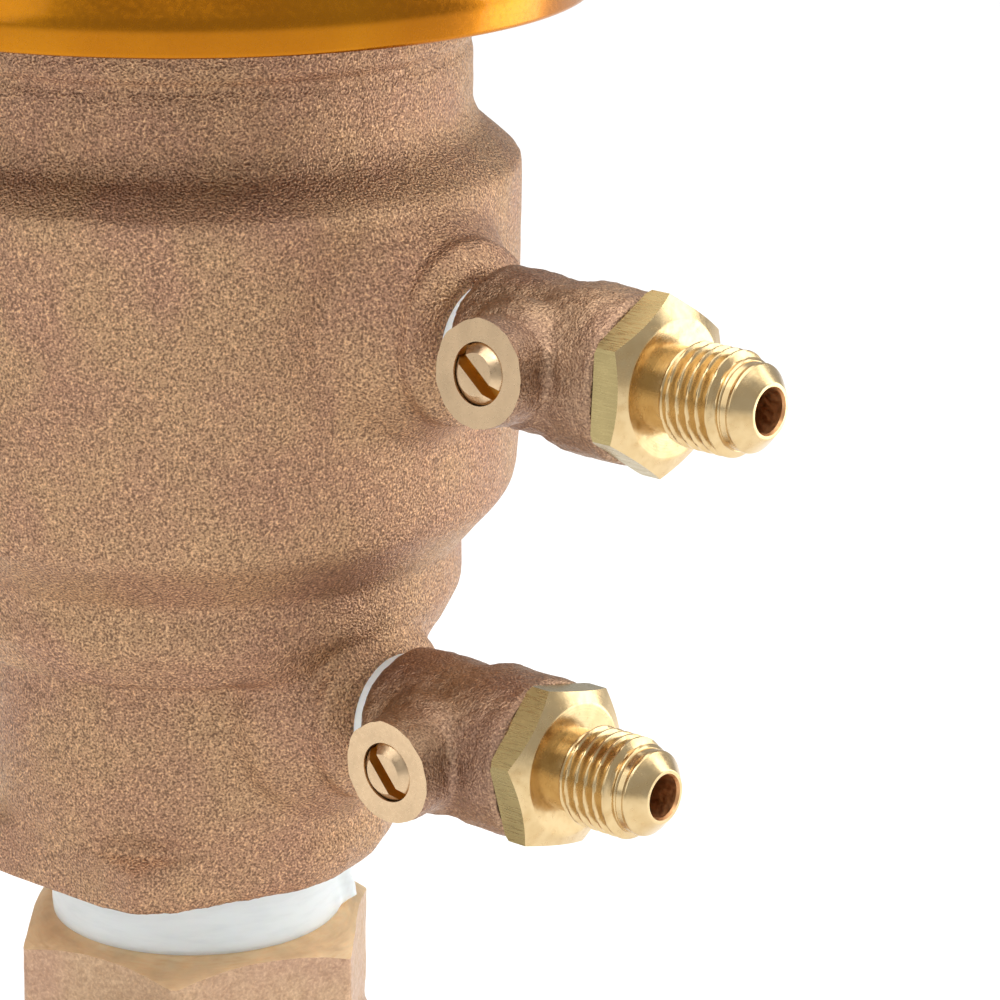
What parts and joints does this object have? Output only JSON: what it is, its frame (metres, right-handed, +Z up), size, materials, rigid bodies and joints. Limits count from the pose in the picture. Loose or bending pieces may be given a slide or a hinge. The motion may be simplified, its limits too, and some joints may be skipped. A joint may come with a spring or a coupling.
{
  "type": "pressure vacuum breaker",
  "caption": "Cast bronze 1 inch pressure vacuum breaker with a gold canopy, quarter-turn ball valves at inlet and side outlet, and test cocks with flare ends.",
  "frame": {"origin": "centre of the inlet port's mouth, at the bottom of the inlet ball valve", "axes": "+Z up along the inlet pipe, +X from the body axis towards the test cocks, -X towards the outlet, -Y towards the front, where the stem slots and handles face"},
  "size_m": [0.2295, 0.0925, 0.2146],
  "materials": {
    "cast_bronze": "sand cast, unpolished, fine grain",
    "machined_brass": "turned and milled, bright with fine tool marks",
    "gold_canopy": "glossy clear gold coating",
    "stainless": "turned, satin",
    "handle_zinc": "zinc plated, satin",
    "chromed_ball": "polished",
    "thread_tape": "soft white tape",
    "seat_plastic": "white, smooth",
    "moulded_plastic": "off-white moulding",
    "rubber": "black, matt"
  },
  "bodies": {
    "casting_and_valves": {"valve_body": "cast_bronze", "bonnet": "machined_brass", "bonnet_oring": "rubber", "canopy": "gold_canopy", "canopy_screw": "stainless", "guide_cage": "moulded_plastic", "inlet_nipple": "cast_bronze", "inlet_nipple_tape": "thread_tape", "outlet_nipple": "cast_bronze", "outlet_nipple_tape": "thread_tape", "inlet_valve_body": "cast_bronze", "inlet_valve_end": "cast_bronze", "inlet_valve_seats": "seat_plastic", "inlet_valve_packing": "seat_plastic", "inlet_valve_packing_nut": "machined_brass", "outlet_valve_body": "cast_bronze", "outlet_valve_end": "cast_bronze", "outlet_valve_seats": "seat_plastic", "outlet_valve_packing": "seat_plastic", "outlet_valve_packing_nut": "machined_brass", "upper_cock_body": "cast_bronze", "upper_cock_adapter": "machined_brass", "upper_cock_seats": "seat_plastic", "upper_cock_tape": "thread_tape", "lower_cock_body": "cast_bronze", "lower_cock_adapter": "machined_brass", "lower_cock_seats": "seat_plastic", "lower_cock_tape": "thread_tape"},
    "inlet_valve_handle_set": {"inlet_valve_ball": "chromed_ball", "inlet_valve_stem": "stainless", "inlet_valve_handle": "handle_zinc", "inlet_valve_handle_nut": "stainless"},
    "outlet_valve_handle_set": {"outlet_valve_ball": "chromed_ball", "outlet_valve_stem": "stainless", "outlet_valve_handle": "handle_zinc", "outlet_valve_handle_nut": "stainless"},
    "upper_cock_stem_set": {"upper_cock_ball": "chromed_ball", "upper_cock_stem": "machined_brass", "upper_cock_oring": "rubber"},
    "lower_cock_stem_set": {"lower_cock_ball": "chromed_ball", "lower_cock_stem": "machined_brass", "lower_cock_oring": "rubber"},
    "check_poppet_set": {"check_poppet": "moulded_plastic", "check_disc": "rubber", "check_disc_screw": "stainless", "check_spring": "stainless"},
    "air_float_set": {"air_float": "moulded_plastic", "float_disc": "rubber", "float_disc_retainer": "stainless", "float_spring": "stainless"}
  },
  "joints": [
    {"name": "inlet_valve_turn", "type": "hinge", "parent": "casting_and_valves", "child": "inlet_valve_handle_set", "pos_m": [0, 0, 0.0403], "axis": [0, -1, 0], "range_deg": [0, 90]},
    {"name": "outlet_valve_turn", "type": "hinge", "parent": "casting_and_valves", "child": "outlet_valve_handle_set", "pos_m": [-0.1067, 0, 0.15], "axis": [0, -1, 0], "range_deg": [0, 90]},
    {"name": "upper_cock_turn", "type": "hinge", "parent": "casting_and_valves", "child": "upper_cock_stem_set", "pos_m": [0.0547, 0, 0.156], "axis": [0, -0.9945, 0.1045], "range_deg": [-53, 37]},
    {"name": "lower_cock_turn", "type": "hinge", "parent": "casting_and_valves", "child": "lower_cock_stem_set", "pos_m": [0.0421, 0, 0.1113], "axis": [0, -0.999, -0.0454], "range_deg": [-39, 51]},
    {"name": "check_lift", "type": "slide", "parent": "casting_and_valves", "child": "check_poppet_set", "axis": [0, 0, 1], "range_m": [0, 0.009], "stiffness_N_per_m": 500, "springref_m": -0.008, "deforming": ["check_spring"]},
    {"name": "float_lift", "type": "slide", "parent": "casting_and_valves", "child": "air_float_set", "axis": [0, 0, 1], "range_m": [0, 0.009], "stiffness_N_per_m": 150, "springref_m": -0.008, "deforming": ["float_spring"]}
  ]
}
